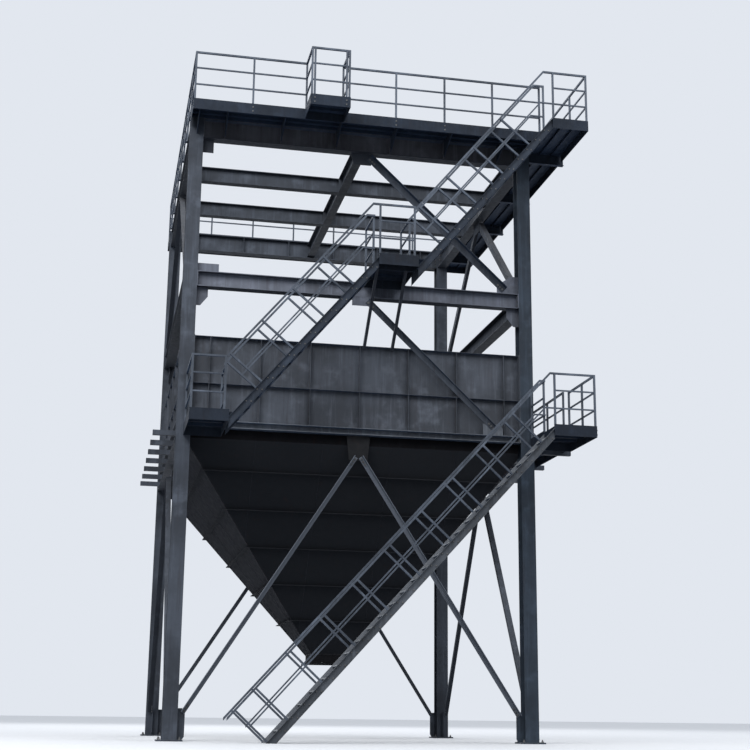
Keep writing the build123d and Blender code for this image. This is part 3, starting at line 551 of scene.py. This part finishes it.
OUTLET_HALF = 0.4
OUTLET_DEPTH = 0.2
OUTLET_BOLT_HALF = 0.45
OUTLET_BOLT_PITCH = 0.3


def outlet_bolts():
    """Twelve bolts round the outlet's flange."""
    bm = bmesh.new()
    half, z = OUTLET_BOLT_HALF, HOPPER_BOTTOM - OUTLET_DEPTH
    for along in row(-half, OUTLET_BOLT_PITCH, 3):
        for x, y in ((along, -half), (half, along), (-along, half), (-half, -along)):
            add_bolt(bm, at(MID + x, MID + y, z), (0, 0, 1), M20)
    piece("outlet_bolts", bm, BOLT_PAINT)


RIB_FIRST = 0.5
RIB_COUNT = 7
RIB_WELD = 0.008
CASING_FACE = -0.02
CASING_FLANGE = 0.012
SEAM_GAP = 0.01
FILLET = 0.006


def casing_welds():
    """Fillet welds where the ribs meet the casing plate, on either side of each rib."""
    bm = bmesh.new()
    low, high = SILL_TOP + SEAM_GAP, CASING_TOP - CASING_FLANGE
    for along in row(RIB_FIRST, (BAY - 2 * RIB_FIRST) / (RIB_COUNT - 1), RIB_COUNT):
        for side in SIDES:
            for place in (along - RIB_WELD, along + RIB_WELD):
                add_bead(bm, side.at(place, CASING_FACE, low), side.at(place, CASING_FACE, high), FILLET)
    piece("casing_welds", bm, WELD_PAINT)


HOPPER_INSET = 0.05
HOPPER_DEPTH = HOPPER_TOP - HOPPER_BOTTOM
HOPPER_RUN = MID - OUTLET_HALF - HOPPER_INSET
SKIRT = 0.25
SHEET_SEAMS = (-2.2, -0.75, 0.75, 2.2)
CORNER_BEAD = 0.012
SPOUT_BEAD = 0.01


def hopper_inset(z):
    """How far the hopper's plates lie inside the grid lines at a height."""
    return HOPPER_INSET + (HOPPER_TOP - z) / HOPPER_DEPTH * HOPPER_RUN


def hopper_welds():
    """The corner seams of the hopper, the joints of its sheets and the seam round the spout."""
    bm = bmesh.new()

    def bead(side, start, end, radius, sides):
        ends = [side.at(along, -hopper_inset(z), z) for along, z in (start, end)]
        add_bead(bm, *ends, radius, sides)

    high, low = HOPPER_TOP - SKIRT, HOPPER_BOTTOM
    for side in (FRONT, REAR):
        bead(side, (hopper_inset(high), high), (hopper_inset(low), low), CORNER_BEAD, 8)
        bead(side, (BAY - hopper_inset(high), high), (BAY - hopper_inset(low), low), CORNER_BEAD, 8)
    for side in SIDES:
        for seam in SHEET_SEAMS:
            corner = HOPPER_TOP - (MID - abs(seam) - HOPPER_INSET) / HOPPER_RUN * HOPPER_DEPTH
            foot = max(low, corner + 2 * SEAM_GAP)
            bead(side, (MID + seam, HOPPER_TOP - SEAM_GAP), (MID + seam, foot), FILLET, 6)
        bead(side, (MID - OUTLET_HALF, low), (MID + OUTLET_HALF, low), SPOUT_BEAD, 8)
    piece("hopper_welds", bm, HOPPER_WELD_PAINT)


# Stairs, with the same lines as the stringers
def flight(start, end, bottom, top, count):
    """Middle, height and half width of each tread; start and end lie on the stringers' top edge."""
    (x0, z0), (x1, z1) = start, end
    length = math.hypot(x1 - x0, z1 - z0)
    run, climb = (x1 - x0) / length, (z1 - z0) / length
    half = (STRINGER_DEPTH - TREAD_THICK * run - 2 * TREAD_GAP) / (2 * climb)
    drop = half * climb + TREAD_GAP
    rise = (top - bottom) / count
    heights = [bottom + rise * k for k in range(1, count)]
    return [(x0 + (z + drop / run - z0) * run / climb, z, half) for z in heights]


# The two ends of each flight's stringers, along the front and up
LOWER_FLIGHT = ((1.74, 0.03), (RIGHT_LANDING[0], LEVEL_ONE - 0.045))
MIDDLE_FLIGHT = ((LEFT_LANDING[1], LEFT_LEVEL - 0.1), (MID_LANDING[0], MID_LEVEL - 0.036))
UPPER_FLIGHT = ((MID_LANDING[1], MID_LEVEL - 0.17), (DECK_SPLIT, DECK_TOP + 0.034))
TREADS = [
    *flight(*LOWER_FLIGHT, 0.0, LEVEL_ONE, 26),
    *flight(*MIDDLE_FLIGHT, LEFT_LEVEL, MID_LEVEL, 14),
    *flight(*UPPER_FLIGHT, MID_LEVEL, DECK_TOP, 14),
]
OUTER_WEB = STAIR_OUT + STRINGER_WIDTH
INNER_WEB = STAIR_IN - STRINGER_WIDTH
TREAD_BOLT_STEP = 0.05
TREAD_BOLT_DROP = 0.004
NOSING_THICK = 0.003
NOSING_WIDE = 0.028
NOSING_DEEP = 0.026
NOSING_LAP = 0.001


def tread_bolts():
    """Two bolts at either end of each tread, through the webs of the stringers."""
    bm = bmesh.new()
    for x, top, _ in TREADS:
        z = top - TREAD_THICK / 2 - TREAD_BOLT_DROP
        for place in (x - TREAD_BOLT_STEP, x + TREAD_BOLT_STEP):
            add_bolt(bm, at(place, OUTER_WEB - STRINGER_WEB, z), (0, -1, 0), M16)
            add_bolt(bm, at(place, INNER_WEB + STRINGER_WEB, z), (0, 1, 0), M16)
    piece("tread_bolts", bm, BOLT_PAINT)


def tread_nosings():
    """A worn angle along the front edge of each tread."""
    bm = bmesh.new()
    for x, z, half in TREADS:
        edge = x - half
        front = edge - NOSING_THICK
        add_plate(bm, at(front, OUTER_WEB, z), at(edge + NOSING_WIDE, INNER_WEB, z + NOSING_THICK))
        add_plate(bm, at(front, OUTER_WEB, z - NOSING_DEEP), at(edge, INNER_WEB, z + NOSING_LAP))
    piece("tread_nosings", bm, NOSING_PAINT)


# Railing posts that stand on a girder or beside an edge channel, each as a place along its side
POST_PITCH = 1.18
LEFT_POSTS = row(1.28, POST_PITCH, 6)
RIGHT_POSTS = row(-0.7, POST_PITCH, 8)
FRONT_POSTS = [1.13, *row(DECK_SPLIT - 0.04, -1.11, 4)]
REAR_POSTS = [*row(1.05, 1.17, 6), OUTER_EDGE - 0.6]
BALCONY_POSTS = (BALCONY[0] + 0.09, BALCONY[1] - 0.09)
LOW_WALKWAY_POSTS = row(0.96, 1.14, 6)
LANDING_POSTS = (STAIR_OUT + RAIL_INSET, FRONT_EDGE, -0.17)
EDGE_BOLT_DROPS = (0.045, 0.14)


def edge_bolts():
    """Two bolts through the edge channel at each railing post that stands beside it."""
    bm = bmesh.new()
    posts = [(x, FRONT_EDGE, DECK_TOP, FRONT) for x in FRONT_POSTS]
    posts += [(x, OUTER_EDGE, DECK_TOP, REAR) for x in REAR_POSTS]
    posts += [(OUTER_EDGE, y, DECK_TOP, RIGHT) for y in RIGHT_POSTS]
    posts += [(WALK_EDGE, y, LEVEL_ONE, RIGHT) for y in LOW_WALKWAY_POSTS]
    posts += [(OUTER_EDGE, y, LEVEL_ONE, RIGHT) for y in LANDING_POSTS]
    posts += [(x, STAIR_OUT, DECK_TOP, FRONT) for x in BALCONY_POSTS]
    for x, y, level, side in posts:
        for drop in EDGE_BOLT_DROPS:
            add_bolt(bm, at(x, y, level - drop), side.axis, M18)
    piece("edge_bolts", bm, BOLT_PAINT)


FOOT_PLATE = 0.008
FOOT_HALF = 0.06
FOOT_OUT = 0.03
FOOT_IN = 0.075
FOOT_BOLT_IN = 0.05
FOOT_BOLT_STEP = 0.042


def post_feet():
    """Foot plates of the posts that stand on the left roof girder."""
    plates, bolts = bmesh.new(), bmesh.new()
    x, top = LEFT_EDGE + RAIL_INSET, ROOF_TOP + FOOT_PLATE
    for y in LEFT_POSTS:
        add_plate(plates, at(x - FOOT_OUT, y - FOOT_HALF, ROOF_TOP), at(x + FOOT_IN, y + FOOT_HALF, top))
        for place in (y - FOOT_BOLT_STEP, y + FOOT_BOLT_STEP):
            add_bolt(bolts, at(x + FOOT_BOLT_IN, place, top), (0, 0, 1), M14)
    piece("post_feet", plates, PAINTS["rail_steel"])
    piece("foot_bolts", bolts, BOLT_PAINT)


RIB_DEPTH = 0.06
RIB_THICK = 0.006
WALKWAY_RIBS = (-0.78, -0.52, -0.3)
SIDE_RIBS = (DECK_SPLIT + 0.28, DECK_SPLIT + 0.55)
BALCONY_RIBS = row(STAIR_OUT + 0.26, 0.26, 2)
LANDING_RIBS = row(STAIR_OUT + 0.4, 0.4, 3)


def deck_ribs():
    """Flat bars under the walkway plates, between their brackets."""
    bm = bmesh.new()

    def bar(x0, x1, y, level):
        top = level - DECK_PLATE
        add_plate(bm, at(x0, y, top - RIB_DEPTH), at(x1, y + RIB_THICK, top))

    for y in WALKWAY_RIBS:
        bar(LEFT_EDGE + EDGE_THICK, DECK_SPLIT, y, DECK_TOP)
        bar(LEFT_EDGE + EDGE_THICK, DECK_SPLIT, BAY - y, DECK_TOP)
    top, front, rear = DECK_TOP - DECK_PLATE, STAIR_OUT + EDGE_THICK, OUTER_EDGE - EDGE_THICK
    for x in SIDE_RIBS:
        add_plate(bm, at(x, front, top - RIB_DEPTH), at(x + RIB_THICK, rear, top))
    for y in BALCONY_RIBS:
        bar(BALCONY[0] + EDGE_THICK, BALCONY[1] - EDGE_THICK, y, DECK_TOP)
    for start, end, level in (LEFT_LANDING, RIGHT_LANDING, MID_LANDING):
        for y in LANDING_RIBS:
            bar(start + EDGE_THICK, end - EDGE_THICK, y, level)
    piece("deck_ribs", bm, RIB_SHADE_PAINT)


anchor_bolts()
end_plate_bolts()
web_cleats()
brace_bolts()
outlet_bolts()
casing_welds()
hopper_welds()
tread_bolts()
tread_nosings()
edge_bolts()
post_feet()
deck_ribs()


# Floor, backdrop and light
def seen_directly(graph):
    """1 where the camera looks straight at it, through glass or in a reflection."""
    path = graph.add("LightPath")
    direct = graph.maths("MAXIMUM", path.outputs["Is Camera Ray"], path.outputs["Is Glossy Ray"])
    return graph.maths("MAXIMUM", direct, path.outputs["Is Transmission Ray"])


FLOOR_SEEN = (224, 226, 229)
FLOOR_BOUNCED = linear((102, 107, 114))
FLOOR_RADIUS = 400.0
SKY_SEEN = linear((226, 231, 239))
HORIZON_LIGHT = linear((136, 142, 152))
OVERHEAD_LIGHT = linear((244, 248, 254))
LAMP_AIM = at(MID, MID, 7.0)


def floor_material():
    """Pale to the camera, but the light that bounces off it is darker."""
    material = bpy.data.materials.new("floor_pale")
    graph = Graph(material)
    cloud = graph.noise(graph.add("TexCoord").outputs["Object"], FLOOR_CLOUDS)
    darker, lighter = (linear([part + step for part in FLOOR_SEEN]) for step in (-4, 2))
    pale = graph.mix(cloud, darker, lighter)
    shader = graph.nodes["Principled BSDF"]
    graph.feed(shader.inputs["Base Color"], graph.mix(seen_directly(graph), FLOOR_BOUNCED, pale))
    graph.feed(shader.inputs["Roughness"], 0.9)
    return material


def floor():
    """A round, level floor under the object."""
    bm = bmesh.new()
    bmesh.ops.create_circle(bm, cap_ends=True, segments=96, radius=FLOOR_RADIUS)
    mesh = bpy.data.meshes.new("floor")
    bm.to_mesh(mesh)
    bm.free()
    mesh.materials.append(floor_material())
    made = bpy.data.objects.new("floor", mesh)
    bpy.context.scene.collection.objects.link(made)


def sky():
    """Pale to the camera, and brightest overhead as a light, as under clouds."""
    world = bpy.data.worlds.new("sky")
    bpy.context.scene.world = world
    graph = Graph(world)
    height = graph.split(graph.add("TexCoord").outputs["Generated"])[2]
    overcast = graph.mix(graph.spread(height, 0.0, 0.85), HORIZON_LIGHT, OVERHEAD_LIGHT)
    back = graph.nodes["Background"]
    graph.feed(back.inputs["Color"], graph.mix(seen_directly(graph), overcast, SKY_SEEN))
    graph.feed(back.inputs["Strength"], 1.0)


def lamp(name, place, size, power):
    """A square lamp that points at the middle of the object."""
    data = bpy.data.lights.new(name, "AREA")
    data.shape = "SQUARE"
    data.size = size
    data.energy = power
    made = bpy.data.objects.new(name, data)
    bpy.context.scene.collection.objects.link(made)
    made.location = place
    made.rotation_euler = (LAMP_AIM - place).to_track_quat("-Z", "Y").to_euler()


floor()
sky()
lamp("key", at(-13, -20, 26), 18.0, 6500)
lamp("fill", at(26, -26, 34), 24.0, 5000)
lamp("back", at(6, 40, 34), 24.0, 6500)


# Camera of the picture, placed on the column grid, with its angles in radians
CAMERA_PLACE = (-1.6537, -28.1646, 0.4928)
CAMERA_YAW = 0.20146
CAMERA_PITCH = 0.24702
CAMERA_ROLL = 0.0111
FOCAL_PIXELS = 1359.6
PICTURE_PIXELS = 750
SENSOR = 36.0


def camera():
    data = bpy.data.cameras.new("camera")
    data.sensor_width = SENSOR
    data.lens = FOCAL_PIXELS / PICTURE_PIXELS * SENSOR
    data.clip_end = 1000.0
    made = bpy.data.objects.new("camera", data)
    bpy.context.scene.collection.objects.link(made)
    forward = Vector((math.sin(CAMERA_YAW) * math.cos(CAMERA_PITCH),
                      math.cos(CAMERA_YAW) * math.cos(CAMERA_PITCH), math.sin(CAMERA_PITCH)))
    level = Vector((math.cos(CAMERA_YAW), -math.sin(CAMERA_YAW), 0))
    upright = level.cross(forward)
    right = level * math.cos(CAMERA_ROLL) + upright * math.sin(CAMERA_ROLL)
    up = upright * math.cos(CAMERA_ROLL) - level * math.sin(CAMERA_ROLL)
    turn = Matrix((right, up, -forward)).transposed()
    made.matrix_world = Matrix.Translation(at(*CAMERA_PLACE)) @ turn.to_4x4()
    bpy.context.scene.camera = made


camera()
bpy.context.scene.view_settings.view_transform = "Standard"
